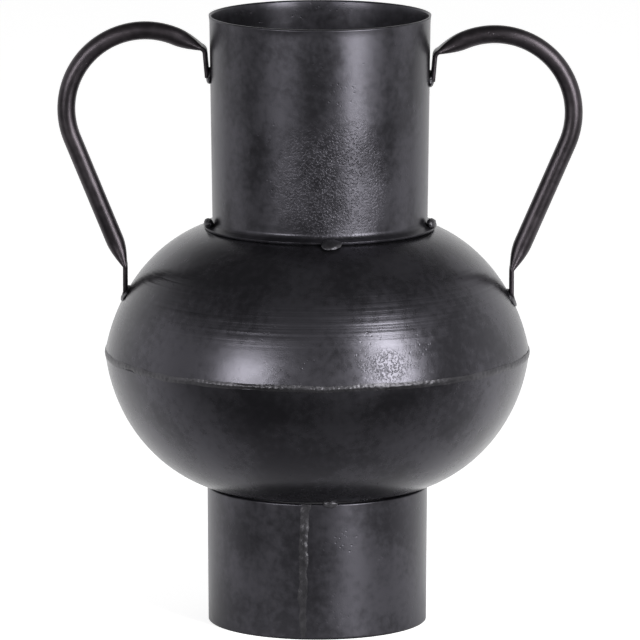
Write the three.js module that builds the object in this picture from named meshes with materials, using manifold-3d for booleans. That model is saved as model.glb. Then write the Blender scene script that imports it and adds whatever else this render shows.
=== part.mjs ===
// A blackened iron vase, welded from sheet and tube: a rolled neck with a flared lower lip, a belly of two
// spun halves, a rolled foot, and two bent handles of round tube whose ends are pressed flat.
// Millimetres, +Z up, front at -Y. The origin is on the neck's axis, on the surface that the vase stands on.
import * as THREE from "three";
import { mergeVertices } from "three/addons/utils/BufferGeometryUtils.js";
import Module from "manifold-3d";

const wasm = await Module();
wasm.setup();

// Driving dimensions, in millimetres. Angles are in degrees.

const sheet = 1.0; // wall of the neck, belly and foot
const gap = 0.3; // clearance wherever two pieces meet
const vaseHeight = 320; // floor to rim
const neckShift = 1.4; // the neck stands this far to the right of the belly's axis

// The belly: each half follows an ellipse from the seam, where it already leans in by the start angle.
const bellyRadius = 111.1;
const upperHalf = { across: 73.3, rise: 87.7, start: 12.3 };
const lowerHalf = { across: 74.8, rise: 83.0, start: 6.8 };
const neckHoleRadius = 53.5; // hole in the upper half, inside the neck

// The foot: a rolled strip, a little wider at the top.
const footHeight = 72.1;
const footTopRadius = 57.8;
const footBottomRadius = 57.3;

// The neck: a rolled strip that tapers down, then flares out to sit on the belly.
const neckTopRadius = 57.6;
const neckWaistRadius = 55.8;
const rimFlare = 0.4; // the rim opens by this much
const rimFlareHeight = 5;
const lipFlareRadius = 10.4; // outer radius of the flare's bend
const lipFlareAngle = 60;

// The handles: round tube, slightly oval in the arch, flat at both ends.
const tubeDiameter = 10;
const tubeWall = 1.0;
const archThickness = 9.4; // the tube measured in the plane of the arch
const tabThickness = 2.4; // the pressed ends
const flattenLength = 14.5; // from a flat end to the full round
const endBendRadius = 3.2; // centre line of the sharp bend beside each flat end
const handleSpan = 274; // across both handles
const archFall = 16.3; // straight stretch between the arch and the sharp bend's corner
const archDrop = 3.4; // rim to the top of the left handle
const bellySeatHeight = 32.6; // seam to where the flat end meets the belly
const lowerTabLength = 12.6; // belly seat to the lower bend
const upperTabLength = 14.6; // neck seat to the upper bend
const upperTabLean = 1.3; // the upper bend stands this much further out than the neck seat
const neckSeatDepth = 32.2; // rim to the lower tip of the upper flat end
const rightHandleDrop = 2.0; // the right handle sits lower than the left

// The welds.
const weldRoot = 0.4; // thickness of the filler between two edges
const bellyWeld = { width: 3.2, height: 0.45 };
const neckWeld = { width: 4.4, height: 0.5 };
const footWeld = { width: 6.2, height: 0.7 };
const neckWeldAzimuth = 180; // azimuths are measured from the front, positive to the right
const footWeldAzimuth = -7.3;
const neckTack = { width: 11, depth: 7, height: 4.4 };
const footTack = { width: 8, depth: 4.4, height: 5 };
const handleWeld = { width: 18.5, length: 11, height: 2.5 };
const neckTackAzimuths = { front: 5.4, right: 78, back_right: 140, back_left: 215, left: -78 };
const footTackAzimuths = { front: 6.8, right: 104, back: 180, left: -104 };

// How finely round things are faceted.
const lathePanels = 48;
const halfSteps = 8;
const tubeSides = 12;
const archSteps = 16;

const darkIron = { color: 0x3b3a3d, roughness: 0.42, metalness: 0.85 };
const handleIron = { color: 0x363235, roughness: 0.46, metalness: 0.85 };
const weldIron = { color: 0x2b2a2c, roughness: 0.55, metalness: 0.8 };

const radians = THREE.MathUtils.degToRad;
const edgeGap = weldRoot / 2 + gap; // half of the slot that a weld's root fills

// Turns a geometry into a solid that can be cut or joined.
function toSolid(geometry) {
  const bare = geometry.index ? geometry.clone() : mergeVertices(geometry);
  bare.deleteAttribute("normal");
  bare.deleteAttribute("uv");
  const merged = mergeVertices(bare, 1e-4);
  const vertProperties = merged.attributes.position.array;
  const triVerts = merged.index.array;
  return new wasm.Manifold(new wasm.Mesh({ numProp: 3, vertProperties, triVerts }));
}

function toGeometry(solid) {
  const mesh = solid.getMesh();
  const geometry = new THREE.BufferGeometry();
  geometry.setAttribute("position", new THREE.BufferAttribute(mesh.vertProperties, 3));
  geometry.setIndex(new THREE.BufferAttribute(mesh.triVerts, 1));
  geometry.computeVertexNormals();
  return geometry;
}

// Revolves a profile of (radius, height) points about +Z. The profile closes on itself or ends on the axis,
// and runs up the outside of the wall.
function revolve(profile) {
  return new THREE.LatheGeometry(profile, lathePanels).rotateX(Math.PI / 2);
}

// Skins a list of rings that hold the same number of points. With loop set the last ring joins the first,
// and otherwise both ends are closed with the triangles of the flat outline.
function skin(rings, loop, outline = []) {
  const count = rings[0].length;
  const indices = [];
  const spans = loop ? rings.length : rings.length - 1;
  for (let row = 0; row < spans; row++) {
    const next = (row + 1) % rings.length;
    for (let column = 0; column < count; column++) {
      const beside = (column + 1) % count;
      const a = row * count + column;
      const b = row * count + beside;
      const c = next * count + beside;
      const d = next * count + column;
      indices.push(a, b, c, a, c, d);
    }
  }
  if (!loop) {
    const last = (rings.length - 1) * count;
    for (const face of THREE.ShapeUtils.triangulateShape(outline, [])) {
      const turned = THREE.ShapeUtils.area(face.map((i) => outline[i])) * THREE.ShapeUtils.area(outline) < 0;
      const [a, b, c] = turned ? face.reverse() : face;
      indices.push(a, c, b, last + a, last + b, last + c);
    }
  }
  const geometry = new THREE.BufferGeometry();
  geometry.setFromPoints(rings.flat());
  geometry.setIndex(indices);
  geometry.computeVertexNormals();
  return geometry;
}

// Horizontal direction at an azimuth, and the one that lies across it.
function outwards(azimuth) {
  return new THREE.Vector3(Math.sin(radians(azimuth)), -Math.cos(radians(azimuth)), 0);
}

function sideways(azimuth) {
  return new THREE.Vector3(Math.cos(radians(azimuth)), Math.sin(radians(azimuth)), 0);
}

// The belly's outline. A point on a half's ellipse at angle t, moved out along the surface's normal. Its
// height is measured from the seam, away from the other half.
function halfPoint(half, t, out) {
  const start = radians(half.start);
  const normal = new THREE.Vector2(half.rise * Math.cos(t), half.across * Math.sin(t)).normalize();
  return new THREE.Vector2(
    bellyRadius + half.across * (Math.cos(t) - Math.cos(start)) + out * normal.x,
    half.rise * (Math.sin(t) - Math.sin(start)) + out * normal.y,
  );
}

function angleAtHeight(half, height) {
  return Math.asin(Math.sin(radians(half.start)) + height / half.rise);
}

function angleAtRadius(half, radius) {
  return Math.acos(Math.cos(radians(half.start)) + (radius - bellyRadius) / half.across);
}

function halfOutline(half, from, to, out) {
  const points = [];
  for (let step = 0; step <= halfSteps; step++) {
    points.push(halfPoint(half, THREE.MathUtils.lerp(from, to, step / halfSteps), out));
  }
  return points;
}

const heightAtRadius = (half, radius) => halfPoint(half, angleAtRadius(half, radius), 0).y;

// Heights that follow from the sizes. The foot's inner top edge carries the belly.
const seamHeight = footHeight + gap + heightAtRadius(lowerHalf, footTopRadius - sheet);

// The flare's inner end is the neck's seat. It stands on the belly where the shifted neck meets it highest.
const flareCentreRadius = neckWaistRadius + lipFlareRadius;
const flareTurn = radians(lipFlareAngle);
const lipInnerRadius = flareCentreRadius - (lipFlareRadius + sheet) * Math.cos(flareTurn);
const lipInnerHeight = seamHeight + heightAtRadius(upperHalf, lipInnerRadius - neckShift) + gap;
const flareTop = lipInnerHeight + (lipFlareRadius + sheet) * Math.sin(flareTurn);

// The neck's outline from the lip up to the rim, moved out from the outer face. With past set, it starts
// that much beyond the lip's end.
function neckOutline(out, past = 0) {
  const points = [];
  const bend = lipFlareRadius - out;
  const steps = 5;
  for (let step = 0; step <= steps; step++) {
    const turn = flareTurn * (1 - step / steps);
    const along = step === 0 ? past : 0;
    points.push(
      new THREE.Vector2(
        flareCentreRadius - bend * Math.cos(turn) + along * Math.sin(turn),
        flareTop - bend * Math.sin(turn) - along * Math.cos(turn),
      ),
    );
  }
  points.push(new THREE.Vector2(neckTopRadius + out, vaseHeight - rimFlareHeight));
  points.push(new THREE.Vector2(neckTopRadius + rimFlare + out, vaseHeight));
  return points;
}

// Radius of the neck's outer face at a height between the flare and the rim's opening.
function neckRadiusAt(height) {
  const share = (height - flareTop) / (vaseHeight - rimFlareHeight - flareTop);
  return THREE.MathUtils.lerp(neckWaistRadius, neckTopRadius, share);
}

function footOutline(out) {
  return [
    new THREE.Vector2(footBottomRadius + out, 0),
    new THREE.Vector2(footTopRadius + out, footHeight),
  ];
}

// A rolled wall between an outer outline and the same outline moved in by the sheet.
function wall(outer, inner) {
  return revolve([...outer, ...inner.reverse(), outer[0].clone()]);
}

// Cuts the slot where the ends of a rolled strip meet.
function slotted(geometry, azimuth, radius) {
  const reach = 40;
  const slot = new THREE.BoxGeometry(2 * edgeGap, reach, 3 * vaseHeight);
  slot.rotateZ(radians(azimuth));
  const place = outwards(azimuth).multiplyScalar(radius);
  slot.translate(place.x, place.y, 0);
  return toGeometry(toSolid(geometry).subtract(toSolid(slot)));
}

function neckSleeve() {
  const sleeve = wall(neckOutline(0), neckOutline(-sheet));
  return slotted(sleeve, neckWeldAzimuth, neckWaistRadius);
}

function footRing() {
  return slotted(wall(footOutline(0), footOutline(-sheet)), footWeldAzimuth, footTopRadius);
}

// One spun half as a wall, from a level edge beside the seam to the given end angle.
function halfWall(half, end) {
  const edge = angleAtHeight(half, edgeGap);
  const outer = halfOutline(half, edge, end, 0);
  const inner = halfOutline(half, edge, end, -sheet);
  inner[0].y = edgeGap;
  return { outer, inner };
}

function bellyUpper() {
  const { outer, inner } = halfWall(upperHalf, angleAtRadius(upperHalf, neckHoleRadius));
  return wall(outer, inner);
}

// The lower half is closed: a flat centre joins the ellipse at its lowest ring.
function bellyLower() {
  const { outer, inner } = halfWall(lowerHalf, Math.PI / 2);
  outer.push(new THREE.Vector2(0, outer.at(-1).y));
  inner.push(new THREE.Vector2(0, inner.at(-1).y));
  return revolve([...outer.reverse(), ...inner].map((p) => new THREE.Vector2(p.x, -p.y)));
}

// Everything inside a surface that stands off the outside of the belly, neck or foot. Welds are cut by it.
function bellyBody(out) {
  const above = halfOutline(upperHalf, radians(upperHalf.start), Math.PI / 2, out);
  const below = halfOutline(lowerHalf, radians(lowerHalf.start), Math.PI / 2, out);
  const profile = [
    new THREE.Vector2(0, -below.at(-1).y),
    ...below.reverse().map((p) => new THREE.Vector2(p.x, -p.y)),
    ...above,
    new THREE.Vector2(0, above.at(-1).y),
  ];
  return toSolid(revolve(profile).translate(-neckShift, 0, seamHeight));
}

function neckBody(out) {
  const outline = neckOutline(out, out);
  const [lipEnd] = neckOutline(-sheet - out, out);
  const bottom = new THREE.Vector2(0, lipEnd.y);
  const top = new THREE.Vector2(0, outline.at(-1).y);
  return toSolid(revolve([bottom, lipEnd, ...outline, top]));
}

function footBody(out) {
  const [low, high] = footOutline(out);
  const top = new THREE.Vector2(0, high.y);
  return toSolid(revolve([new THREE.Vector2(0, low.y), low, high, top]).translate(-neckShift, 0, 0));
}

// The handle's centre line, for the side at +X, as a tube is bent on a bench: a flat end up the belly, a
// small bend outwards, a straight run, the arch, a straight fall to the sharp bend, and a flat end down the
// neck. The run and the fall are the tangents to the arch from the two small bends.
function handleRoute(bellyReach, drop) {
  const tabHalf = tabThickness / 2;
  const seatAngle = angleAtHeight(upperHalf, bellySeatHeight - drop);
  const seat = halfPoint(upperHalf, seatAngle, gap);
  seat.x += bellyReach;
  seat.y += seamHeight;
  const lowerBend = new THREE.Vector2(seat.x + tabHalf, seat.y + lowerTabLength);
  const tipHeight = vaseHeight - neckSeatDepth - drop;
  const tip = new THREE.Vector2(neckRadiusAt(tipHeight) + gap + tabHalf, tipHeight);
  const upperBend = new THREE.Vector2(tip.x + upperTabLean, tipHeight + upperTabLength);

  // The arch is the circle that reaches the span and the top, and lies the fall's length from the upper bend.
  const farthest = (handleSpan - archThickness) / 2;
  const highest = vaseHeight - archDrop - drop - archThickness / 2;
  const over = farthest - upperBend.x;
  const above = highest - upperBend.y;
  const archRadius = over + above - Math.sqrt(2 * over * above + archFall ** 2);
  const arch = new THREE.Vector2(farthest - archRadius, highest - archRadius);

  const toArch = arch.clone().sub(lowerBend);
  const runHeading = toArch.angle() - Math.asin(archRadius / toArch.length());
  const back = arch.clone().sub(upperBend);
  const fallHeading = back.angle() + Math.asin(archRadius / back.length()) - Math.PI;
  const tabHeading = tip.clone().sub(upperBend).angle();
  const lowerTurn = runHeading - Math.PI / 2;
  const upperTurn = tabHeading - fallHeading;
  const lowerTrim = endBendRadius * Math.tan(Math.abs(lowerTurn) / 2);
  const upperTrim = endBendRadius * Math.tan(upperTurn / 2);
  const runLength = Math.sqrt(toArch.lengthSq() - archRadius ** 2) - lowerTrim;
  const normalAngle = Math.atan2(
    upperHalf.across * Math.sin(seatAngle),
    upperHalf.rise * Math.cos(seatAngle),
  );

  const seatMiddle = new THREE.Vector2(lowerBend.x, seat.y - tabHalf / Math.tan(normalAngle));

  return {
    seat,
    seatMiddle,
    normalAngle,
    tip,
    start: new THREE.Vector2(lowerBend.x, seat.y),
    lowerTab: lowerTabLength - lowerTrim,
    lowerTurn,
    runLength,
    archRadius,
    archTurn: fallHeading - runHeading,
    fallLength: archFall - upperTrim,
    upperTurn,
    upperTab: tip.distanceTo(upperBend) - upperTrim,
  };
}

// Walks the route and returns its stations: place, heading, distance, and where the tube is flat.
function handleStations(route) {
  const place = route.start.clone();
  const stations = [];
  let heading = Math.PI / 2;
  let distance = 0;
  const note = () => stations.push({ place: place.clone(), heading, distance });
  const forward = (lengths) => {
    for (const length of lengths) {
      place.x += length * Math.cos(heading);
      place.y += length * Math.sin(heading);
      distance += length;
      note();
    }
  };
  const turn = (radius, angle, steps) => {
    const step = angle / steps;
    const chord = 2 * radius * Math.sin(Math.abs(step) / 2);
    for (let i = 0; i < steps; i++) {
      place.x += chord * Math.cos(heading + step / 2);
      place.y += chord * Math.sin(heading + step / 2);
      heading += step;
      distance += radius * Math.abs(step);
      note();
    }
  };
  const opening = [0.14, 0.2, 0.27, 0.39]; // shares of the stretch in which the tube opens
  note();
  forward([route.lowerTab]);
  turn(endBendRadius, route.lowerTurn, 2);
  const flatFrom = distance;
  forward([...opening.map((share) => share * flattenLength), route.runLength - flattenLength]);
  turn(route.archRadius, route.archTurn, archSteps);
  forward(opening.reverse().map((share) => share * route.fallLength));
  const flatTo = distance;
  turn(endBendRadius, route.upperTurn, 4);
  forward([route.upperTab]);
  for (const station of stations) {
    const fromFlat = Math.min(station.distance - flatFrom, flatTo - station.distance);
    const roundness = Math.sin((Math.PI / 2) * THREE.MathUtils.clamp(fromFlat / flattenLength, 0, 1));
    station.half = THREE.MathUtils.lerp(tabThickness, archThickness, roundness) / 2;
  }
  return stations;
}

// A section of the tube: two half rounds joined by flats, so that pressing it flat keeps the length of the
// sheet round it. Points are (towards the inside of the arch, along Y).
function tubeSection(half, out) {
  const flat = (Math.PI / 4) * (tubeDiameter - 2 * half);
  const corner = (half + out) / Math.cos(Math.PI / tubeSides);
  const points = [];
  for (let side = 0; side < tubeSides; side++) {
    const angle = ((side + 0.5) / tubeSides) * 2 * Math.PI;
    const y = Math.sin(angle);
    points.push(new THREE.Vector2(corner * Math.cos(angle), Math.sign(y) * flat + corner * y));
  }
  return points;
}

// Rings of the handle's outer face moved out, for one side. The first ring is cut along the belly.
function handleRings(route, side, out) {
  const slope = Math.tan(route.normalAngle);
  return handleStations(route).map((station, index) => {
    const inward = new THREE.Vector2(-Math.sin(station.heading), Math.cos(station.heading));
    const ring = tubeSection(station.half, out).map(({ x, y }) => {
      const point = station.place.clone().addScaledVector(inward, x);
      if (index === 0) {
        point.y = route.seat.y - (point.x - route.seat.x) / slope;
      }
      return new THREE.Vector3(side * point.x, y, point.y);
    });
    return side > 0 ? ring.reverse() : ring;
  });
}

function handle(route, side) {
  const outer = handleRings(route, side, 0);
  const inner = handleRings(route, side, -tubeWall);
  return skin([...outer, ...inner.reverse()], true);
}

// The handle as a filled, fatter body, which cuts the welds at its ends. It runs on through the belly.
function handleBody(route, side, out) {
  const section = tubeSection(tabThickness / 2, out);
  const rings = handleRings(route, side, out);
  const intoWall = (out + 2 * sheet) / Math.sin(route.normalAngle);
  rings[0].forEach((point) => point.add(new THREE.Vector3(0, 0, -intoWall)));
  rings.at(-1).forEach((point) => point.add(new THREE.Vector3(0, 0, -out)));
  return toSolid(skin(rings, false, side > 0 ? section.reverse() : section));
}

// Section of a weld along a joint: a low crown on the outer face, and a root between the two edges. Points
// are (across the joint, out from the outer face).
function weldSection({ width, height }) {
  const crown = [
    [-1, 0],
    [-0.55, 0.8],
    [0, 1],
    [0.55, 0.8],
    [1, 0],
  ];
  const root = weldRoot / 2;
  return [
    new THREE.Vector2(root, gap),
    new THREE.Vector2(root, -sheet),
    new THREE.Vector2(-root, -sheet),
    new THREE.Vector2(-root, gap),
    ...crown.map(([across, out]) => new THREE.Vector2((across * width) / 2, gap + out * height)),
  ];
}

// A weld down the joint of a rolled strip, whose outline is a list of (radius, height) points.
function seamWeld(outline, azimuth, size) {
  const section = weldSection(size);
  const out = outwards(azimuth);
  const across = sideways(azimuth);
  const rings = outline.map((point, index) => {
    const before = outline[Math.max(index - 1, 0)];
    const after = outline[Math.min(index + 1, outline.length - 1)];
    const along = after.clone().sub(before).normalize();
    return section.map((offset) =>
      new THREE.Vector3(0, 0, point.y - along.x * offset.y)
        .addScaledVector(out, point.x + along.y * offset.y)
        .addScaledVector(across, offset.x),
    );
  });
  return skin(rings, false, section);
}

// The weld round the belly. Its crown follows each half away from the seam.
function bellySeamWeld() {
  const profile = weldSection(bellyWeld).map(({ x: across, y: out }) => {
    const half = across > 0 ? upperHalf : lowerHalf;
    const surface = halfPoint(half, angleAtHeight(half, Math.abs(across)), 0).x;
    return new THREE.Vector2(surface + out, across);
  });
  return revolve([...profile, profile[0].clone()]);
}

// A lump of weld metal: an ellipsoid whose height axis is tilted from level by the slope, at an azimuth.
function lump({ width, length, height }, slope) {
  const ball = new THREE.SphereGeometry(0.5, 10, 8);
  ball.scale(height, width, length);
  return ball.rotateY(-slope);
}

// A tack on a round joint at a (radius, height) point, cut back from what it holds.
function tack({ width, depth, height }, azimuth, radius, level, bodies) {
  const blob = lump({ width, length: height, height: depth }, 0);
  blob.rotateZ(radians(azimuth) - Math.PI / 2);
  const place = outwards(azimuth).multiplyScalar(radius);
  blob.translate(place.x, place.y, level);
  return cutBy(blob, bodies);
}

function cutBy(geometry, bodies) {
  return toGeometry(bodies.reduce((solid, body) => solid.subtract(body), toSolid(geometry)));
}

// The fillet round a flat end of a handle.
function handleEndWeld(side, place, slope, bodies) {
  const size = { width: handleWeld.width, length: handleWeld.length, height: 2 * handleWeld.height };
  const blob = lump(size, slope).translate(place.x, 0, place.y);
  if (side < 0) {
    blob.rotateZ(Math.PI);
  }
  return cutBy(blob, bodies);
}

function piece(name, geometry, finish) {
  const mesh = new THREE.Mesh(geometry, new THREE.MeshStandardMaterial(finish));
  mesh.name = name;
  return mesh;
}

const vase = new THREE.Group();
const belly = new THREE.Group();
belly.position.set(-neckShift, 0, seamHeight);
const foot = new THREE.Group();
foot.position.set(-neckShift, 0, 0);
vase.add(belly, foot);

belly.add(piece("belly_upper_half", bellyUpper(), darkIron));
belly.add(piece("belly_lower_half", bellyLower(), darkIron));
belly.add(piece("belly_seam_weld", bellySeamWeld(), weldIron));
foot.add(piece("foot_ring", footRing(), darkIron));
const footJoint = footOutline(0);
footJoint[0].y += gap;
foot.add(piece("foot_seam_weld", seamWeld(footJoint, footWeldAzimuth, footWeld), weldIron));
vase.add(piece("neck_sleeve", neckSleeve(), darkIron));
const neckJoint = neckOutline(0);
neckJoint.at(-1).y -= gap;
vase.add(piece("neck_seam_weld", seamWeld(neckJoint, neckWeldAzimuth, neckWeld), weldIron));

const bellyCut = bellyBody(gap);
const neckCut = neckBody(gap);
const footCut = footBody(gap);

const lip = neckOutline(0)[0];
for (const [place, azimuth] of Object.entries(neckTackAzimuths)) {
  const blob = tack(neckTack, azimuth, lip.x, lip.y, [neckCut, bellyCut]);
  vase.add(piece("neck_tack_" + place, blob, weldIron));
}
for (const [place, azimuth] of Object.entries(footTackAzimuths)) {
  const blob = tack(footTack, azimuth, footTopRadius, footHeight, []);
  blob.translate(-neckShift, 0, 0);
  vase.add(piece("foot_tack_" + place, cutBy(blob, [footCut, bellyCut]), weldIron));
}

const handles = [
  { name: "left_handle", side: -1, bellyReach: neckShift, drop: 0 },
  { name: "right_handle", side: 1, bellyReach: -neckShift, drop: rightHandleDrop },
];
for (const { name, side, bellyReach, drop } of handles) {
  const route = handleRoute(bellyReach, drop);
  const cutter = handleBody(route, side, gap);
  const neckFace = new THREE.Vector2(route.tip.x - tabThickness / 2 - gap, route.tip.y);
  vase.add(piece(name, handle(route, side), handleIron));
  vase.add(piece(name + "_neck_weld", handleEndWeld(side, neckFace, 0, [neckCut, cutter]), weldIron));
  const bellyEnd = handleEndWeld(side, route.seatMiddle, route.normalAngle, [bellyCut, cutter]);
  vase.add(piece(name + "_belly_weld", bellyEnd, weldIron));
}

export default vase;
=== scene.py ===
"""Looks of a blackened iron vase: fine surfaces for the sheet, the tube handles and the welds."""

import math

import bpy
import numpy as np
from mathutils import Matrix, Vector


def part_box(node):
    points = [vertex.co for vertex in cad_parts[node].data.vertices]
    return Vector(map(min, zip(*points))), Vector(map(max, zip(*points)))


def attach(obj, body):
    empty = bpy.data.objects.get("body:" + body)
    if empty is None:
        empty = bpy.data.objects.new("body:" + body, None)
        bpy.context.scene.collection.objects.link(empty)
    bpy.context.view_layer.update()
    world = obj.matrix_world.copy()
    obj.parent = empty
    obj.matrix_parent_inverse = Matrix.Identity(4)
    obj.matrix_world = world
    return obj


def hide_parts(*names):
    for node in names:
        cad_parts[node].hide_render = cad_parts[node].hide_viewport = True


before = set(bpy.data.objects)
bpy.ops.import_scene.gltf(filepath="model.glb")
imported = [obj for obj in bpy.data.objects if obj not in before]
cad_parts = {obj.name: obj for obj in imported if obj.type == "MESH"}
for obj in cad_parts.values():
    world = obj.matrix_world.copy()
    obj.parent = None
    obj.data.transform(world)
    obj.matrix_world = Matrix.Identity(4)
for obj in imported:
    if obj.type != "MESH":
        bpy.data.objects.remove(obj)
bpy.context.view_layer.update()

bl_info = {
    "name": "Blackened Iron Vase",
    "version": (1, 0, 0),
    "blender": (4, 5, 0),
    "location": "View3D > Sidebar > Iron Vase",
    "description": "Builds the sheet, handles, welds and studio of a two-handled iron vase",
    "category": "Add Mesh",
}


def box(node):
    """Lowest and highest corner of a CAD node as arrays, in metres."""
    low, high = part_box(node)
    return np.array(low), np.array(high)


SHEET = 0.001
SEAM_HALF_SLOT = 0.0005
GAP = 0.0003
RIM = box("neck_sleeve")[1][2]
FOOT_TOP = box("foot_ring")[1][2]
SEAM = box("belly_lower_half")[1][2] + SEAM_HALF_SLOT
BELLY_X = float((box("belly_upper_half")[0][0] + box("belly_upper_half")[1][0]) / 2)
LIP_LOW = box("neck_sleeve")[0][2]


class VaseSheetSizes(bpy.types.PropertyGroup):
    belly_radius: bpy.props.FloatProperty(
        name="Belly radius", description="Outer radius at the seam", default=0.1111, unit="LENGTH"
    )
    upper_across: bpy.props.FloatProperty(
        name="Upper half across", description="Level half axis of its ellipse", default=0.0733, unit="LENGTH"
    )
    upper_rise: bpy.props.FloatProperty(
        name="Upper half rise", description="Upright half axis of its ellipse", default=0.0877, unit="LENGTH"
    )
    upper_start: bpy.props.FloatProperty(
        name="Upper half start", description="Lean at the seam", default=math.radians(12.3), subtype="ANGLE"
    )
    lower_across: bpy.props.FloatProperty(
        name="Lower half across", description="Level half axis of its ellipse", default=0.0748, unit="LENGTH"
    )
    lower_rise: bpy.props.FloatProperty(
        name="Lower half rise", description="Upright half axis of its ellipse", default=0.083, unit="LENGTH"
    )
    lower_start: bpy.props.FloatProperty(
        name="Lower half start", description="Lean at the seam", default=math.radians(6.8), subtype="ANGLE"
    )
    neck_hole: bpy.props.FloatProperty(
        name="Neck hole", description="Radius of the hole under the neck", default=0.0535, unit="LENGTH"
    )
    neck_top: bpy.props.FloatProperty(
        name="Neck top", description="Outer radius under the rim", default=0.0576, unit="LENGTH"
    )
    neck_waist: bpy.props.FloatProperty(
        name="Neck waist", description="Outer radius above the flare", default=0.0563, unit="LENGTH"
    )
    lip_bend: bpy.props.FloatProperty(
        name="Lip bend", description="Outer radius of the lip's bend", default=0.0028, unit="LENGTH"
    )
    lip_turn: bpy.props.FloatProperty(
        name="Lip turn", description="How far the lip turns out", default=math.radians(66), subtype="ANGLE"
    )
    lip_length: bpy.props.FloatProperty(
        name="Lip length", description="Straight part of the lip", default=0.0033, unit="LENGTH"
    )
    foot_top: bpy.props.FloatProperty(
        name="Foot top", description="Outer radius under the belly", default=0.0578, unit="LENGTH"
    )
    foot_bottom: bpy.props.FloatProperty(
        name="Foot bottom", description="Outer radius at the floor", default=0.0573, unit="LENGTH"
    )
    wave: bpy.props.FloatProperty(
        name="Hand wave", description="How far the sheet strays from true", default=0.00012, unit="LENGTH"
    )


class VaseHandleSizes(bpy.types.PropertyGroup):
    tube: bpy.props.FloatProperty(
        name="Tube", description="Diameter of the round tube", default=0.010, unit="LENGTH"
    )
    arch_tube: bpy.props.FloatProperty(
        name="Arch tube", description="Tube measured in the plane of the arch", default=0.0094, unit="LENGTH"
    )
    tab: bpy.props.FloatProperty(
        name="Flat end", description="Thickness of a pressed end", default=0.0024, unit="LENGTH"
    )
    flatten: bpy.props.FloatProperty(
        name="Press length", description="From flat to round", default=0.0145, unit="LENGTH"
    )
    arch_fall: bpy.props.FloatProperty(
        name="Fall", description="Straight stretch from the arch to the sharp bend", default=0.0163, unit="LENGTH"
    )
    end_bend: bpy.props.FloatProperty(
        name="End bend", description="Centre line of the sharp bends", default=0.0032, unit="LENGTH"
    )
    upper_tab: bpy.props.FloatProperty(
        name="Upper flat length", description="Neck seat to the bend", default=0.0146, unit="LENGTH"
    )
    upper_lean: bpy.props.FloatProperty(
        name="Upper flat lean", description="How far its bend stands out", default=0.0013, unit="LENGTH"
    )
    lower_tab: bpy.props.FloatProperty(
        name="Lower flat length", description="Belly seat to the bend", default=0.0126, unit="LENGTH"
    )
    belly_seat: bpy.props.FloatProperty(
        name="Belly seat", description="Seam to the left belly seat", default=0.0326, unit="LENGTH"
    )
    right_drop: bpy.props.FloatProperty(
        name="Right drop", description="The right handle sits lower", default=0.002, unit="LENGTH"
    )


class VaseIronColours(bpy.types.PropertyGroup):
    sheet: bpy.props.FloatVectorProperty(
        name="Sheet", description="Blackened sheet", subtype="COLOR", size=3, default=(0.064, 0.062, 0.072)
    )
    handle: bpy.props.FloatVectorProperty(
        name="Handles", description="Blackened tube", subtype="COLOR", size=3, default=(0.055, 0.048, 0.054)
    )
    weld: bpy.props.FloatVectorProperty(
        name="Welds", description="Weld metal", subtype="COLOR", size=3, default=(0.075, 0.073, 0.080)
    )


def strayed(points, scale, seed):
    """Smooth noise from -1 to 1 at points: a mean of twelve sine waves, each along its own random direction."""
    draw = np.random.default_rng(seed)
    directions = draw.normal(size=(12, 3)) / scale
    phases = draw.uniform(0, 2 * math.pi, 12)
    return np.sin(points @ directions.T + phases).mean(axis=-1) * 2


def surface(name, grid, wrap_rows):
    """A mesh from a grid of points. Columns always join round; rows join round, or both ends meet at a pole."""
    rows, columns = grid.shape[:2]
    across = np.arange(columns)
    beside = (across + 1) % columns
    spans = rows if wrap_rows else rows - 1
    low = np.arange(spans)[:, None] * columns
    high = ((np.arange(spans) + 1) % rows)[:, None] * columns
    quads = np.stack([low + across, low + beside, high + beside, high + across], axis=-1).reshape(-1, 4)
    faces = quads.tolist()
    points = grid.reshape(-1, 3)
    if not wrap_rows:
        poles = len(points)
        points = np.vstack([points, grid[0].mean(axis=0), grid[-1].mean(axis=0)])
        last = (rows - 1) * columns
        faces += np.stack([beside, across, np.full(columns, poles)], axis=-1).tolist()
        faces += np.stack([last + across, last + beside, np.full(columns, poles + 1)], axis=-1).tolist()
    mesh = bpy.data.meshes.new(name)
    mesh.from_pydata(points.tolist(), [], faces)
    mesh.polygons.foreach_set("use_smooth", np.ones(len(mesh.polygons), dtype=bool))
    mesh.update()
    return mesh


def volume(mesh):
    """Signed volume of a closed mesh: the sum of the tetrahedra from the origin to its triangles."""
    mesh.calc_loop_triangles()
    corners = np.empty(len(mesh.vertices) * 3)
    mesh.vertices.foreach_get("co", corners)
    loops = np.empty(len(mesh.loop_triangles) * 3, dtype=np.int32)
    mesh.loop_triangles.foreach_get("vertices", loops)
    a, b, c = corners.reshape(-1, 3)[loops.reshape(-1, 3)].transpose(1, 0, 2)
    return float(np.einsum("ij,ij->i", a, np.cross(b, c)).sum() / 6)


def add_piece(name, grid, wrap_rows, material, slot, *nodes):
    """Puts a grid into the scene as a piece that stands for CAD nodes, with its faces turned outwards."""
    mesh = surface(name, grid, wrap_rows)
    if volume(mesh) < 0:
        mesh.flip_normals()
    piece = bpy.data.objects.new(name, mesh)
    bpy.context.collection.objects.link(piece)
    mesh.materials.append(material)
    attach(piece, "root")
    if nodes:
        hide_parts(*nodes)
    return piece


def revolved(profile, columns, centre_x):
    """A grid from a profile of (radius, height) points carried round an upright axis."""
    turn = np.linspace(0, 2 * math.pi, columns, endpoint=False)
    radius = profile[:, 0][:, None]
    x = centre_x + radius * np.cos(turn)
    y = radius * np.sin(turn)
    return np.stack([x, y, np.broadcast_to(profile[:, 1][:, None], x.shape)], axis=-1)


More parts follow.
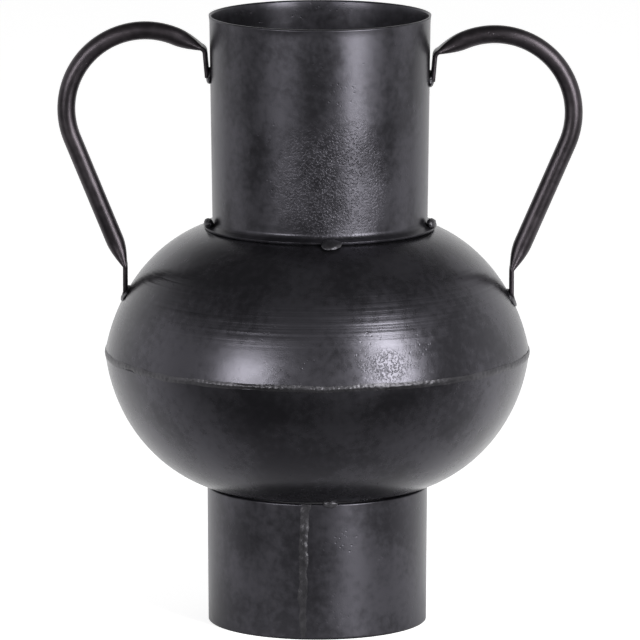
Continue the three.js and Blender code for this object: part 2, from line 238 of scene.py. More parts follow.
def waved(grid, centre_x, amount, seed):
    """Moves each point of a grid in or out from the axis by smooth noise, so the wall keeps its thickness."""
    shift = strayed(grid * [1, 1, 0.6], 0.03, seed) * amount
    flat = grid[..., :2] - [centre_x, 0]
    reach = np.linalg.norm(flat, axis=-1, keepdims=True)
    grid = grid.copy()
    grid[..., :2] += flat / np.maximum(reach, 1e-6) * shift[..., None] * np.minimum(reach / 0.02, 1)
    return grid


def rounded_end(start, end):
    """Points that carry a profile from one face of the sheet to the other with small rounded corners."""
    shares = np.array([0.04, 0.14, 0.5, 0.86, 0.96])
    lift = np.array([0.07, 0.13, 0.14, 0.13, 0.07]) * SHEET
    along = end - start
    out = np.array([along[1], -along[0]]) / np.linalg.norm(along)
    return start + shares[:, None] * along + out * (lift - 0.14 * SHEET)[:, None]


def wall(outer, inner):
    """A closed profile round a sheet: up the outer face, over the top edge, down the inner face and under."""
    return np.vstack([outer, rounded_end(outer[-1], inner[-1])[:], inner[::-1], rounded_end(inner[0], outer[0])])


def half_points(across, rise, start, angles, out):
    """Points of a spun half: an ellipse from the seam, moved out along its normal. Heights are from the seam."""
    radius = bpy.context.scene.vase_sheet.belly_radius
    normal = np.stack([rise * np.cos(angles), across * np.sin(angles)], axis=-1)
    normal /= np.linalg.norm(normal, axis=-1, keepdims=True)
    x = radius + across * (np.cos(angles) - math.cos(start))
    y = rise * (np.sin(angles) - math.sin(start))
    return np.stack([x, y], axis=-1) + out * normal


def upper_half(angles, out):
    sizes = bpy.context.scene.vase_sheet
    return half_points(sizes.upper_across, sizes.upper_rise, sizes.upper_start, angles, out)


def lower_half(angles, out):
    sizes = bpy.context.scene.vase_sheet
    points = half_points(sizes.lower_across, sizes.lower_rise, sizes.lower_start, angles, out)
    return points * [1, -1]


def bend_top():
    """Height where the lip's bend begins, from the lip's inner end, which is the sleeve's lowest ring."""
    sizes = bpy.context.scene.vase_sheet
    rise = (sizes.lip_bend + SHEET) * math.sin(sizes.lip_turn) + sizes.lip_length * math.cos(sizes.lip_turn)
    return LIP_LOW + rise


def neck_outline(out):
    """The neck from lip to rim: a straight lip, an arc that turns upright, a taper, and a slightly opened rim."""
    sizes = bpy.context.scene.vase_sheet
    turns = np.linspace(sizes.lip_turn, 0, 20)
    bend = sizes.lip_bend - out
    x = sizes.neck_waist + sizes.lip_bend - bend * np.cos(turns)
    z = bend_top() - bend * np.sin(turns)
    lip_share = np.linspace(1, 0, 8)[:-1] * sizes.lip_length
    lip_x = x[0] + lip_share * math.sin(sizes.lip_turn)
    lip_z = z[0] - lip_share * math.cos(sizes.lip_turn)
    share = np.linspace(0, 1, 60)[1:]
    straight_x = sizes.neck_waist + (sizes.neck_top - sizes.neck_waist) * share + out
    straight_z = bend_top() + (RIM - 0.005 - bend_top()) * share
    rim_share = np.linspace(0, 1, 6)[1:]
    rim_x = sizes.neck_top + out + 0.0004 * rim_share**2
    rim_z = RIM - 0.005 + 0.005 * rim_share
    radii = np.concatenate([lip_x, x, straight_x, rim_x])
    return np.stack([radii, np.concatenate([lip_z, z, straight_z, rim_z])], axis=-1)


def node_input(node, name, value):
    node.inputs[name].default_value = value


def iron_group():
    """The skin of blackened iron as one node group: mottled colour, uneven gloss, and fine pits as height."""
    group = bpy.data.node_groups.new("Blackened iron skin", "ShaderNodeTree")
    face = group.interface
    face.new_socket("Vector", in_out="INPUT", socket_type="NodeSocketVector")
    for name in ("Dark", "Light"):
        face.new_socket(name, in_out="INPUT", socket_type="NodeSocketColor")
    for name in ("Gloss", "Patch"):
        face.new_socket(name, in_out="INPUT", socket_type="NodeSocketFloat")
    face.new_socket("Colour", in_out="OUTPUT", socket_type="NodeSocketColor")
    face.new_socket("Roughness", in_out="OUTPUT", socket_type="NodeSocketFloat")
    face.new_socket("Height", in_out="OUTPUT", socket_type="NodeSocketFloat")
    new = group.nodes.new
    link = group.links.new
    given = new("NodeGroupInput")
    result = new("NodeGroupOutput")

    def noise(scale, detail):
        node = new("ShaderNodeTexNoise")
        node_input(node, "Scale", scale)
        node_input(node, "Detail", detail)
        link(given.outputs["Vector"], node.inputs["Vector"])
        return node.outputs["Fac"]

    def maths(kind, first, second, third=None):
        node = new("ShaderNodeMath")
        node.operation = kind
        for socket, value in zip(node.inputs, (first, second, third)):
            if hasattr(value, "is_linked"):
                link(value, socket)
            elif value is not None:
                socket.default_value = value
        return node.outputs[0]

    def ramp(value, low, high):
        node = new("ShaderNodeMapRange")
        node.interpolation_type = "SMOOTHSTEP"
        node_input(node, "From Min", low)
        node_input(node, "From Max", high)
        link(value, node.inputs["Value"])
        return node.outputs["Result"]

    clouds = noise(24, 5)
    grains = noise(260, 4)
    fine = noise(1600, 3)
    mix = new("ShaderNodeMix")
    mix.data_type = "RGBA"
    link(ramp(maths("ADD", maths("MULTIPLY", clouds, 0.7), maths("MULTIPLY", grains, 0.3)), 0.38, 0.62), mix.inputs["Factor"])
    link(given.outputs["Dark"], mix.inputs["A"])
    link(given.outputs["Light"], mix.inputs["B"])
    link(mix.outputs["Result"], result.inputs["Colour"])

    pits = new("ShaderNodeTexVoronoi")
    node_input(pits, "Scale", 420)
    link(given.outputs["Vector"], pits.inputs["Vector"])
    pit = maths("MULTIPLY", ramp(pits.outputs["Distance"], 0.28, 0.08), ramp(noise(60, 2), 0.52, 0.66))
    blister = maths("MULTIPLY", given.outputs["Patch"], ramp(noise(800, 3), 0.48, 0.62))
    rough = maths("MULTIPLY_ADD", clouds, 0.22, given.outputs["Gloss"])
    rough = maths("MULTIPLY_ADD", grains, 0.10, rough)
    rough = maths("MULTIPLY_ADD", blister, 0.12, rough)
    link(maths("SUBTRACT", rough, 0.16), result.inputs["Roughness"])
    height = maths("MULTIPLY_ADD", fine, 0.18, maths("MULTIPLY", grains, 0.35))
    height = maths("MULTIPLY_ADD", pit, -0.55, height)
    height = maths("MULTIPLY_ADD", blister, -0.75, height)
    link(height, result.inputs["Height"])
    return group


def ellipsoid_mask(material, centre, size):
    """One at the middle of a patch of the surface and nothing at its edge, from Object coordinates."""
    new = material.node_tree.nodes.new
    link = material.node_tree.links.new
    place = new("ShaderNodeTexCoord")
    shift = new("ShaderNodeVectorMath")
    shift.operation = "SUBTRACT"
    shift.inputs[1].default_value = centre
    link(place.outputs["Object"], shift.inputs[0])
    shrink = new("ShaderNodeVectorMath")
    shrink.operation = "DIVIDE"
    shrink.inputs[1].default_value = size
    link(shift.outputs[0], shrink.inputs[0])
    length = new("ShaderNodeVectorMath")
    length.operation = "LENGTH"
    link(shrink.outputs[0], length.inputs[0])
    fade = new("ShaderNodeMapRange")
    fade.interpolation_type = "SMOOTHSTEP"
    node_input(fade, "From Min", 1.0)
    node_input(fade, "From Max", 0.35)
    link(length.outputs["Value"], fade.inputs["Value"])
    return fade.outputs["Result"]


def spun_marks(material, low, high):
    """Height from fine level rings between two heights: noise that is long round the belly and short upwards."""
    new = material.node_tree.nodes.new
    link = material.node_tree.links.new
    place = new("ShaderNodeTexCoord")
    stretch = new("ShaderNodeMapping")
    node_input(stretch, "Scale", (5, 5, 430))
    link(place.outputs["Object"], stretch.inputs["Vector"])
    rings = new("ShaderNodeTexNoise")
    node_input(rings, "Scale", 1)
    node_input(rings, "Detail", 2)
    link(stretch.outputs["Vector"], rings.inputs["Vector"])
    split = new("ShaderNodeSeparateXYZ")
    link(place.outputs["Object"], split.inputs[0])
    band = new("ShaderNodeMapRange")
    band.interpolation_type = "SMOOTHSTEP"
    node_input(band, "From Min", (high - low) / 2)
    node_input(band, "From Max", (high - low) / 4)
    off = new("ShaderNodeMath")
    off.operation = "SUBTRACT"
    off.inputs[1].default_value = (low + high) / 2
    link(split.outputs["Z"], off.inputs[0])
    apart = new("ShaderNodeMath")
    apart.operation = "ABSOLUTE"
    link(off.outputs[0], apart.inputs[0])
    link(apart.outputs[0], band.inputs["Value"])
    depth = new("ShaderNodeMath")
    depth.operation = "MULTIPLY"
    link(rings.outputs["Fac"], depth.inputs[0])
    link(band.outputs["Result"], depth.inputs[1])
    deeper = new("ShaderNodeMath")
    deeper.operation = "MULTIPLY"
    deeper.inputs[1].default_value = 2.2
    link(depth.outputs[0], deeper.inputs[0])
    return deeper.outputs[0]


def iron(name, colour, gloss, bump, patch=None, rings=None):
    """A blackened iron material on the shared skin, with the bump's depth in metres."""
    material = bpy.data.materials.new(name)
    material.use_nodes = True
    nodes = material.node_tree.nodes
    link = material.node_tree.links.new
    shader = nodes["Principled BSDF"]
    skin = nodes.new("ShaderNodeGroup")
    skin.node_tree = bpy.data.node_groups.get("Blackened iron skin") or iron_group()
    place = nodes.new("ShaderNodeTexCoord")
    link(place.outputs["Object"], skin.inputs["Vector"])
    node_input(skin, "Dark", (*[channel * 0.72 for channel in colour], 1))
    node_input(skin, "Light", (*[channel * 1.3 for channel in colour], 1))
    node_input(skin, "Gloss", gloss)
    node_input(skin, "Patch", 0.0)
    if patch:
        link(ellipsoid_mask(material, *patch), skin.inputs["Patch"])
    node_input(shader, "Metallic", 0.9)
    link(skin.outputs["Colour"], shader.inputs["Base Color"])
    link(skin.outputs["Roughness"], shader.inputs["Roughness"])
    lift = nodes.new("ShaderNodeBump")
    node_input(lift, "Distance", bump)
    node_input(lift, "Strength", 1.0)
    height = skin.outputs["Height"]
    if rings:
        total = nodes.new("ShaderNodeMath")
        total.operation = "ADD"
        link(height, total.inputs[0])
        link(spun_marks(material, *rings), total.inputs[1])
        height = total.outputs[0]
    link(height, lift.inputs["Height"])
    link(lift.outputs["Normal"], shader.inputs["Normal"])
    return material


def sheet_material(name, gloss, patch=None, rings=None):
    return iron(name, bpy.context.scene.vase_colours.sheet, gloss, 0.00011, patch, rings)


def weld_material():
    known = bpy.data.materials.get("Weld iron")
    return known or iron("Weld iron", bpy.context.scene.vase_colours.weld, 0.40, 0.0003)


class VASE_OT_neck(bpy.types.Operator):
    """The neck: its outline revolved as a sheet, strayed by smooth noise"""

    bl_idname = "vase.neck"
    bl_label = "Neck"

    def execute(self, context):
        grid = revolved(wall(neck_outline(0), neck_outline(-SHEET)), 360, 0)
        grid = waved(grid, 0, context.scene.vase_sheet.wave, 11)
        patch = ((0.008, -0.056, 0.238), (0.040, 0.03, 0.044))
        add_piece("neck", grid, True, sheet_material("Neck iron", 0.35, patch), "vase_iron", "neck_sleeve")
        return {"FINISHED"}


class VASE_OT_belly(bpy.types.Operator):
    """The belly: two ellipse outlines revolved as sheet, the upper one open and the lower one closed"""

    bl_idname = "vase.belly"
    bl_label = "Belly"

    def execute(self, context):
        sizes = context.scene.vase_sheet
        edge = math.asin(math.sin(sizes.upper_start) + SEAM_HALF_SLOT / sizes.upper_rise)
        hole = math.acos(
            math.cos(sizes.upper_start) + (sizes.neck_hole - sizes.belly_radius) / sizes.upper_across
        )
        angles = np.linspace(edge, hole, 110)
        outer = upper_half(angles, 0) + [0, SEAM]
        inner = upper_half(angles, -SHEET) + [0, SEAM]
        inner[0, 1] = outer[0, 1]
        grid = waved(revolved(wall(outer, inner), 400, BELLY_X), BELLY_X, sizes.wave, 12)
        patch = ((0.035, -0.108, 0.153), (0.018, 0.03, 0.012))
        finish = sheet_material("Belly iron", 0.27, patch, (0.158, 0.198))
        add_piece("belly_top", grid, True, finish, "vase_iron", "belly_upper_half")

        edge = math.asin(math.sin(sizes.lower_start) + SEAM_HALF_SLOT / sizes.lower_rise)
        angles = np.linspace(math.pi / 2, edge, 110)
        centre = np.linspace(0.002, 1, 12)[:-1, None]
        outer = lower_half(angles, 0)
        inner = lower_half(angles, -SHEET)
        inner[-1, 1] = outer[-1, 1]
        outer = np.vstack([outer[0] * np.hstack([centre, centre**0]), outer]) + [0, SEAM]
        inner = np.vstack([inner[0] * np.hstack([centre, centre**0]), inner]) + [0, SEAM]
        profile = np.vstack([outer, rounded_end(outer[-1], inner[-1]), inner[::-1]])
        grid = waved(revolved(profile, 400, BELLY_X), BELLY_X, sizes.wave, 12)
        add_piece("belly_bowl", grid, False, finish, "vase_iron", "belly_lower_half")
        return {"FINISHED"}


class VASE_OT_foot(bpy.types.Operator):
    """The foot: a straight tapered sheet, revolved"""

    bl_idname = "vase.foot"
    bl_label = "Foot"

    def execute(self, context):
        sizes = context.scene.vase_sheet
        share = np.linspace(0, 1, 60)[:, None]
        outer = (1 - share) * [sizes.foot_bottom, 0] + share * [sizes.foot_top, FOOT_TOP]
        profile = wall(outer, outer - [SHEET, 0])
        grid = waved(revolved(profile, 360, BELLY_X), BELLY_X, sizes.wave, 13)
        add_piece("foot", grid, True, sheet_material("Foot iron", 0.35), "vase_iron", "foot_ring")
        return {"FINISHED"}


def neck_radius_at(height):
    sizes = bpy.context.scene.vase_sheet
    share = (height - bend_top()) / (RIM - 0.005 - bend_top())
    return sizes.neck_waist + (sizes.neck_top - sizes.neck_waist) * share


def unit(angle):
    return np.array([math.cos(angle), math.sin(angle)])


def handle_route(side):
    """The handle's centre line for one side, solved as in the CAD: both straight stretches are tangents to
    the arch from the small bends. Returns its stations as (place, heading, distance), and the flat stretch's
    two inner ends."""
    sheet = bpy.context.scene.vase_sheet
    sizes = bpy.context.scene.vase_handles
    drop = sizes.right_drop if side > 0 else 0
    node = "right_handle" if side > 0 else "left_handle"
    low, high = box(node)
    reach = high[0] if side > 0 else -low[0]
    top = high[2]
    angle = math.asin(math.sin(sheet.upper_start) + (sizes.belly_seat - drop) / sheet.upper_rise)
    seat = upper_half(np.array([angle]), GAP)[0] + [side * BELLY_X, SEAM]
    slope = math.atan2(sheet.upper_across * math.sin(angle), sheet.upper_rise * math.cos(angle))
    half = sizes.tab / 2
    lower_bend = seat + [half, sizes.lower_tab]
    tip_height = RIM - 0.0322 - drop
    tip = np.array([neck_radius_at(tip_height) + GAP + half, tip_height])
    upper_bend = tip + [sizes.upper_lean, sizes.upper_tab]
    corner = np.array([reach, top]) - sizes.arch_tube / 2
    over, above = corner - upper_bend
    radius = over + above - math.sqrt(2 * over * above + sizes.arch_fall**2)
    arch = corner - radius
    to_arch = arch - lower_bend
    back = arch - upper_bend
    reach_low, reach_high = np.linalg.norm(to_arch), np.linalg.norm(back)
    run = math.atan2(to_arch[1], to_arch[0]) - math.asin(radius / reach_low)
    fall = math.atan2(back[1], back[0]) + math.asin(radius / reach_high) + math.pi
    tab = math.atan2(*(tip - upper_bend)[::-1]) + 2 * math.pi
    lower_trim = sizes.end_bend * math.tan(abs(run - math.pi / 2) / 2)
    upper_trim = sizes.end_bend * math.tan((tab - fall) / 2)
    stations = [(np.array([lower_bend[0], seat[1]]), math.pi / 2, 0.0)]

    def forward(length, steps):
        place, heading, distance = stations[-1]
        for step in range(1, steps + 1):
            part = length * step / steps
            stations.append((place + part * unit(heading), heading, distance + part))

    def turn(radius, angle, steps):
        place, heading, distance = stations[-1]
        centre = place + math.copysign(radius, angle) * unit(heading + math.pi / 2)
        spoke = place - centre
        for step in range(1, steps + 1):
            bend = angle * step / steps
            turned = centre + [
                spoke[0] * math.cos(bend) - spoke[1] * math.sin(bend),
                spoke[0] * math.sin(bend) + spoke[1] * math.cos(bend),
            ]
            stations.append((turned, heading + bend, distance + radius * abs(bend)))

    forward(sizes.lower_tab - lower_trim, 10)
    turn(sizes.end_bend, run - math.pi / 2, 6)
    flat_from = stations[-1][2]
    forward(math.sqrt(reach_low**2 - radius**2) - lower_trim, 80)
    turn(radius, fall - run, 110)
    forward(sizes.arch_fall - upper_trim, 24)
    flat_to = stations[-1][2]
    turn(sizes.end_bend, tab - fall, 12)
    forward(np.linalg.norm(tip - upper_bend) - upper_trim, 12)
    return stations, flat_from, flat_to, seat, slope, tip


def handle_faces(side, out, sides=40):
    """Rings of the tube: two half rounds joined by flats of equal total girth, carried along the centre line.
    The tube is round but for its pressed ends, and the first ring is cut along the belly."""
    sizes = bpy.context.scene.vase_handles
    stations, flat_from, flat_to, seat, slope, tip = handle_route(side)
    place = np.array([station[0] for station in stations])
    heading = np.array([station[1] for station in stations])
    distance = np.array([station[2] for station in stations])
    from_flat = np.clip(np.minimum(distance - flat_from, flat_to - distance) / sizes.flatten, 0, 1)
    half = (sizes.tab + (sizes.arch_tube - sizes.tab) * np.sin(math.pi / 2 * from_flat)) / 2
    flat = math.pi / 4 * (sizes.tube - 2 * half)
    angle = (np.arange(sides) + 0.5) / sides * 2 * math.pi
    inward = (half + out)[:, None] * np.cos(angle)
    y = np.sign(np.sin(angle)) * flat[:, None] + (half + out)[:, None] * np.sin(angle)
    x = place[:, 0][:, None] - np.sin(heading)[:, None] * inward
    z = place[:, 1][:, None] + np.cos(heading)[:, None] * inward
    z[0] = seat[1] - (x[0] - seat[0]) / math.tan(slope)
    return np.stack([side * x, y, z], axis=-1)


class VASE_OT_handles(bpy.types.Operator):
    """The handles: a hollow tube along each centre line, pressed flat at both open ends"""

    bl_idname = "vase.handles"
    bl_label = "Handles"

    def execute(self, context):
        colour = context.scene.vase_colours.handle
        finish = iron("Handle iron", colour, 0.38, 0.00016)
        for side, name in ((-1, "left"), (1, "right")):
            grid = np.vstack([handle_faces(side, 0), handle_faces(side, -SHEET)[::-1]])
            grid = grid + strayed(grid, 0.006, 21 + side)[..., None] * [0, 0.00006, 0]
            add_piece(name + "_tube", grid, True, finish, "handle_iron", name + "_handle")
        return {"FINISHED"}


def bead(middle, out, across, width, height, sink, seed):
    """A grid for a weld along a line: a low crown that meets the sheet softly, height high and width wide, closed
    underneath at a depth of sink. Smooth noise sways it, swells it and gives it a crust."""
    turn = np.linspace(0, 2 * math.pi, 20, endpoint=False)
    ripple = 1 + 0.25 * strayed(middle, 0.0016, seed) + 0.45 * strayed(middle, 0.007, seed + 1)
    middle = middle + across * (strayed(middle, 0.005, seed + 3) * width * 0.14)[:, None]
    up = np.sin(turn)
    crown = np.where(up > 0, (height * ripple)[:, None] * up[None, :] ** 3, sink * up[None, :])
    span = width / 2 * np.cos(turn)[None, :] * (1 + 0.2 * strayed(middle, 0.004, seed + 2))[:, None]
    grid = middle[:, None, :] + across[:, None, :] * span[..., None]
    crust = strayed(grid, 0.0007, seed + 4) * 0.3 * height[:, None] * np.maximum(up, 0)
    return grid + out[:, None, :] * (crown + crust)[..., None]


def lump(name, centre, axes, seed, *nodes):
    """A tack: an ellipsoid on three axes that are arrays, its reach strayed by smooth noise."""
    rows = np.linspace(0.02, math.pi - 0.02, 30)[:, None]
    columns = np.linspace(0, 2 * math.pi, 44, endpoint=False)[None, :]
    ball = np.stack(
        [np.sin(rows) * np.cos(columns), np.sin(rows) * np.sin(columns), np.cos(rows) * np.ones_like(columns)],
        axis=-1,
    )
    ball = ball * (1 + 0.12 * strayed(ball, 0.5, seed) + 0.06 * strayed(ball, 0.14, seed + 1))[..., None]
    add_piece(name, centre + ball @ np.array(axes), False, weld_material(), "weld_iron", *nodes)


def round_axes(azimuth):
    """Outward and sideways directions at an azimuth counted from the front, positive to the right."""
    angle = math.radians(azimuth)
    return np.array([math.sin(angle), -math.cos(angle), 0]), np.array([math.cos(angle), math.sin(angle), 0])


class VASE_OT_welds(bpy.types.Operator):
    """The welds: rippled beads along the joints, and lumps at the tacks and handle ends"""

    bl_idname = "vase.welds"
    bl_label = "Welds"

    def execute(self, context):
        sizes = context.scene.vase_sheet
        turn = np.linspace(0, 2 * math.pi, 2400, endpoint=False)
        out = np.stack([np.cos(turn), np.sin(turn), 0 * turn], axis=-1)
        up = np.broadcast_to([0, 0, 1.0], out.shape)
        middle = out * (sizes.belly_radius - 0.0001) + [BELLY_X, 0, SEAM]
        rough = 0.00030 + 0.00034 * np.exp(-(((turn - 1.5 * math.pi) / 0.55) ** 2))
        grid = bead(middle, out, up, 0.0034, rough, 0.0006, 31)
        add_piece("belly_bead", grid, True, weld_material(), "weld_iron", "belly_seam_weld")
        self.seam("foot_bead", self.foot_line(), -7.3, BELLY_X, 0.0056, 0.048, "foot_seam_weld", 41)
        self.seam("neck_bead", neck_outline(0)[:-1], 180, 0, 0.0042, 0.26, "neck_seam_weld", 51)
        up = np.array([0, 0, 1.0])
        lip = neck_outline(0)[0]
        tacks = {"front": 5.4, "right": 78, "back_right": 140, "back_left": 215, "left": -78}
        for seed, (place, azimuth) in enumerate(tacks.items()):
            outwards, sideways = round_axes(azimuth)
            centre = outwards * (lip[0] + 0.0014) + up * (lip[1] - 0.0006)
            axes = [sideways * 0.0052, outwards * 0.0042 - up * 0.0016, up * 0.0017]
            if place in ("left", "right"):
                centre = outwards * (lip[0] - 0.0016) + up * (lip[1] + 0.0024)
                axes = [sideways * 0.0046, outwards * 0.0024, up * 0.0028]
            lump("neck_lump_" + place, centre, axes, 60 + 2 * seed, "neck_tack_" + place)
        tacks = {"front": 6.8, "right": 104, "back": 180, "left": -104}
        for seed, (place, azimuth) in enumerate(tacks.items()):
            outwards, sideways = round_axes(azimuth)
            centre = outwards * sizes.foot_top + up * FOOT_TOP + [BELLY_X, 0, 0]
            axes = [sideways * 0.0038, outwards * 0.0017, up * 0.0023]
            lump("foot_lump_" + place, centre, axes, 80 + 2 * seed, "foot_tack_" + place)
        for side, name in ((-1, "left"), (1, "right")):
            _, _, _, seat, slope, tip = handle_route(side)
            tab = context.scene.vase_handles.tab
            centre = np.array([side * (tip[0] - tab / 2 - 0.0002), 0, tip[1] + 0.0005])
            axes = [np.array([0, 0.0088, 0]), np.array([0.0021, 0, 0]), np.array([0, 0, 0.0042])]
            lump(name + "_neck_lump", centre, axes, 100 + side, name + "_handle_neck_weld")
            normal = np.array([side * math.cos(slope), 0, math.sin(slope)])
            along = np.array([side * math.sin(slope), 0, -math.cos(slope)])
            centre = np.array([side * (seat[0] + tab / 2), 0, seat[1] - tab / 2 / math.tan(slope)])
            axes = [np.array([0, 0.0088, 0]), normal * 0.0017, along * 0.0047]
            lump(name + "_belly_lump", centre - normal * 0.0002, axes, 110 + side, name + "_handle_belly_weld")
        return {"FINISHED"}

    def foot_line(self):
        sizes = bpy.context.scene.vase_sheet
        share = np.linspace(0.01, 0.995, 140)[:, None]
        return (1 - share) * [sizes.foot_bottom, 0] + share * [sizes.foot_top, FOOT_TOP]

    def seam(self, name, line, azimuth, centre_x, width, strongest, node, seed):
        """A bead up a line of (radius, height) points at an azimuth, proudest near one height."""
        outwards, sideways = round_axes(azimuth)
        spans = np.r_[0, np.cumsum(np.linalg.norm(np.diff(line, axis=0), axis=1))]
        even = np.linspace(0, spans[-1], 420)
        radius = np.interp(even, spans, line[:, 0])
        level = np.interp(even, spans, line[:, 1])
        middle = outwards * (radius - 0.0001)[:, None] + np.array([0, 0, 1]) * level[:, None] + [centre_x, 0, 0]
        lean = np.gradient(radius, level)
        rough = 0.0003 + 0.0006 * np.exp(-(((level - strongest) / 0.018) ** 2))
        out = outwards - np.array([0, 0, 1]) * lean[:, None]
        out /= np.linalg.norm(out, axis=-1, keepdims=True)
        across = np.broadcast_to(sideways, out.shape)
        grid = bead(middle, out, across, width, rough, 0.0005, seed)
        add_piece(name, grid, False, weld_material(), "weld_iron", node)


def lamp(name, place, target, width, height, watts):
    """A soft rectangular lamp that faces a point."""
    light = bpy.data.lights.new(name, "AREA")
    light.shape = "RECTANGLE"
    light.size = width
    light.size_y = height
    light.energy = watts
    holder = bpy.data.objects.new(name, light)
    holder.location = place
    holder.rotation_euler = (Vector(target) - Vector(place)).to_track_quat("-Z", "Y").to_euler()
    bpy.context.collection.objects.link(holder)


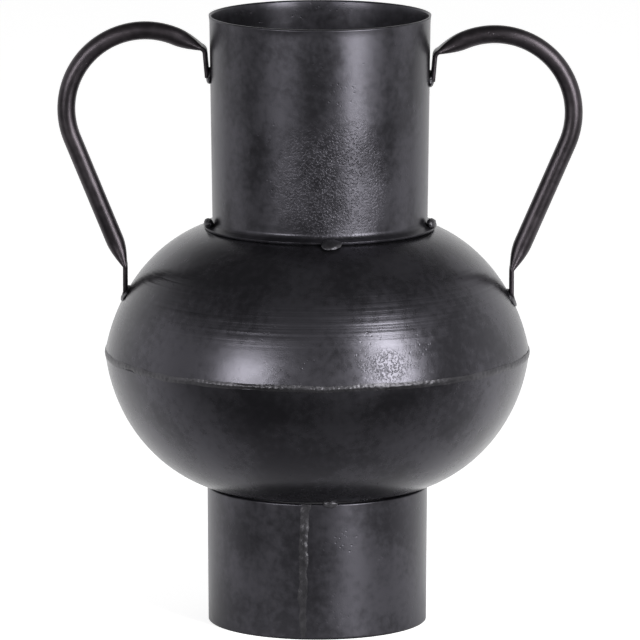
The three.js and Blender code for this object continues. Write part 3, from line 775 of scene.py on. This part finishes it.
class VASE_OT_studio(bpy.types.Operator):
    """The stage: a pale floor, a white surround, soft lamps and the camera"""

    bl_idname = "vase.studio"
    bl_label = "Studio"

    def execute(self, context):
        self.floor()
        self.surround(context.scene)
        middle = (0, 0, 0.16)
        lamp("right window", (1.12, -1.28, 0.92), (0, 0, 0.92), 0.62, 1.30, 33)
        lamp("right low", (0.98, -1.38, 0.10), (0, 0, 0.10), 0.36, 0.30, 6)
        lamp("left window", (-1.05, -1.38, 0.62), (0, 0, 0.62), 0.72, 0.60, 12)
        self.camera(context.scene)
        return {"FINISHED"}

    def floor(self):
        mesh = bpy.data.meshes.new("floor")
        reach = 12
        corners = [(-reach, -reach, 0), (reach, -reach, 0), (reach, reach, 0), (-reach, reach, 0)]
        mesh.from_pydata(corners, [], [(0, 1, 2, 3)])
        floor = bpy.data.objects.new("floor", mesh)
        bpy.context.collection.objects.link(floor)
        material = bpy.data.materials.new("Pale floor")
        material.use_nodes = True
        shader = material.node_tree.nodes["Principled BSDF"]
        node_input(shader, "Roughness", 0.9)
        node_input(shader, "Specular IOR Level", 0.0)
        node_input(shader, "Emission Color", (1, 1, 1, 1))
        new = material.node_tree.nodes.new
        link = material.node_tree.links.new
        path = new("ShaderNodeLightPath")
        place = new("ShaderNodeTexCoord")
        split = new("ShaderNodeSeparateXYZ")
        link(place.outputs["Object"], split.inputs[0])
        behind = new("ShaderNodeMapRange")
        behind.interpolation_type = "SMOOTHSTEP"
        node_input(behind, "From Min", -0.25)
        node_input(behind, "From Max", 0.15)
        link(split.outputs["Y"], behind.inputs["Value"])
        white = self.most(material, behind.outputs["Result"], path.outputs["Is Camera Ray"])
        colour = new("ShaderNodeMix")
        colour.data_type = "RGBA"
        node_input(colour, "A", (0.12, 0.12, 0.12, 1))
        node_input(colour, "B", (0.85, 0.85, 0.85, 1))
        link(white, colour.inputs["Factor"])
        link(colour.outputs["Result"], shader.inputs["Base Color"])
        shown = self.most(material, path.outputs["Is Camera Ray"], path.outputs["Is Glossy Ray"])
        shown = self.most(material, shown, path.outputs["Is Transmission Ray"])
        glow = new("ShaderNodeMath")
        glow.operation = "MULTIPLY"
        link(shown, glow.inputs[0])
        link(white, glow.inputs[1])
        strength = new("ShaderNodeMath")
        strength.operation = "MULTIPLY"
        strength.inputs[1].default_value = 0.71
        link(glow.outputs[0], strength.inputs[0])
        link(strength.outputs[0], shader.inputs["Emission Strength"])
        mesh.materials.append(material)

    def most(self, owner, first, second):
        node = owner.node_tree.nodes.new("ShaderNodeMath")
        node.operation = "MAXIMUM"
        owner.node_tree.links.new(first, node.inputs[0])
        owner.node_tree.links.new(second, node.inputs[1])
        return node.outputs[0]

    def surround(self, scene):
        """White behind the vase, as the camera and the metal see it, and a dim room before and above it."""
        world = bpy.data.worlds.new("Studio surround")
        scene.world = world
        world.use_nodes = True
        nodes = world.node_tree.nodes
        link = world.node_tree.links.new
        background = nodes["Background"]
        node_input(background, "Color", (1, 1, 1, 1))
        place = nodes.new("ShaderNodeTexCoord")
        split = nodes.new("ShaderNodeSeparateXYZ")
        link(place.outputs["Generated"], split.inputs[0])
        behind = nodes.new("ShaderNodeMapRange")
        behind.interpolation_type = "SMOOTHSTEP"
        node_input(behind, "From Min", -0.35)
        node_input(behind, "From Max", 0.35)
        link(split.outputs["Y"], behind.inputs["Value"])
        low = nodes.new("ShaderNodeMapRange")
        low.interpolation_type = "SMOOTHSTEP"
        node_input(low, "From Min", 0.75)
        node_input(low, "From Max", 0.15)
        link(split.outputs["Z"], low.inputs["Value"])
        both = nodes.new("ShaderNodeMath")
        both.operation = "MULTIPLY"
        link(behind.outputs["Result"], both.inputs[0])
        link(low.outputs["Result"], both.inputs[1])
        path = nodes.new("ShaderNodeLightPath")
        white = self.most(world, both.outputs[0], path.outputs["Is Camera Ray"])
        room = nodes.new("ShaderNodeMapRange")
        room.interpolation_type = "SMOOTHSTEP"
        node_input(room, "From Min", 0.2)
        node_input(room, "From Max", 0.8)
        node_input(room, "To Min", 0.46)
        node_input(room, "To Max", 0.12)
        link(split.outputs["Z"], room.inputs["Value"])
        strength = nodes.new("ShaderNodeMapRange")
        link(room.outputs["Result"], strength.inputs["To Min"])
        node_input(strength, "To Max", 1.0)
        link(white, strength.inputs["Value"])
        link(strength.outputs["Result"], background.inputs["Strength"])
        scene.view_settings.view_transform = "Standard"

    def camera(self, scene):
        """The photograph's camera: 4.27 m off at a little under ten degrees, fitted to the vase's outlines."""
        away = 4.267
        raised = math.radians(9.95)
        data = bpy.data.cameras.new("camera")
        data.sensor_width = 36
        data.lens = 8149 * 36 / 640
        data.clip_end = 100
        camera = bpy.data.objects.new("camera", data)
        camera.location = (0, -away * math.cos(raised), 0.160 + away * math.sin(raised))
        aim = Vector((0, 0, 0.1588)) - camera.location
        camera.rotation_euler = aim.to_track_quat("-Z", "Y").to_euler()
        bpy.context.collection.objects.link(camera)
        scene.camera = camera


class VASE_PT_panel(bpy.types.Panel):
    """Lists the vase's pieces and sizes"""

    bl_idname = "VASE_PT_panel"
    bl_label = "Iron vase"
    bl_space_type = "VIEW_3D"
    bl_region_type = "UI"
    bl_category = "Iron Vase"

    def draw(self, context):
        for step in STEPS:
            self.layout.operator("vase." + step)
        for group in (context.scene.vase_sheet, context.scene.vase_handles, context.scene.vase_colours):
            for name in group.__annotations__:
                self.layout.prop(group, name)


STEPS = ("neck", "belly", "foot", "handles", "welds", "studio")
CLASSES = (
    VaseSheetSizes,
    VaseHandleSizes,
    VaseIronColours,
    VASE_OT_neck,
    VASE_OT_belly,
    VASE_OT_foot,
    VASE_OT_handles,
    VASE_OT_welds,
    VASE_OT_studio,
    VASE_PT_panel,
)


def register():
    for kind in CLASSES:
        bpy.utils.register_class(kind)
    bpy.types.Scene.vase_sheet = bpy.props.PointerProperty(type=VaseSheetSizes)
    bpy.types.Scene.vase_handles = bpy.props.PointerProperty(type=VaseHandleSizes)
    bpy.types.Scene.vase_colours = bpy.props.PointerProperty(type=VaseIronColours)


def unregister():
    del bpy.types.Scene.vase_colours
    del bpy.types.Scene.vase_handles
    del bpy.types.Scene.vase_sheet
    for kind in reversed(CLASSES):
        bpy.utils.unregister_class(kind)


def main():
    register()
    for step in STEPS:
        getattr(bpy.ops.vase, step)()


if __name__ == "__main__":
    main()
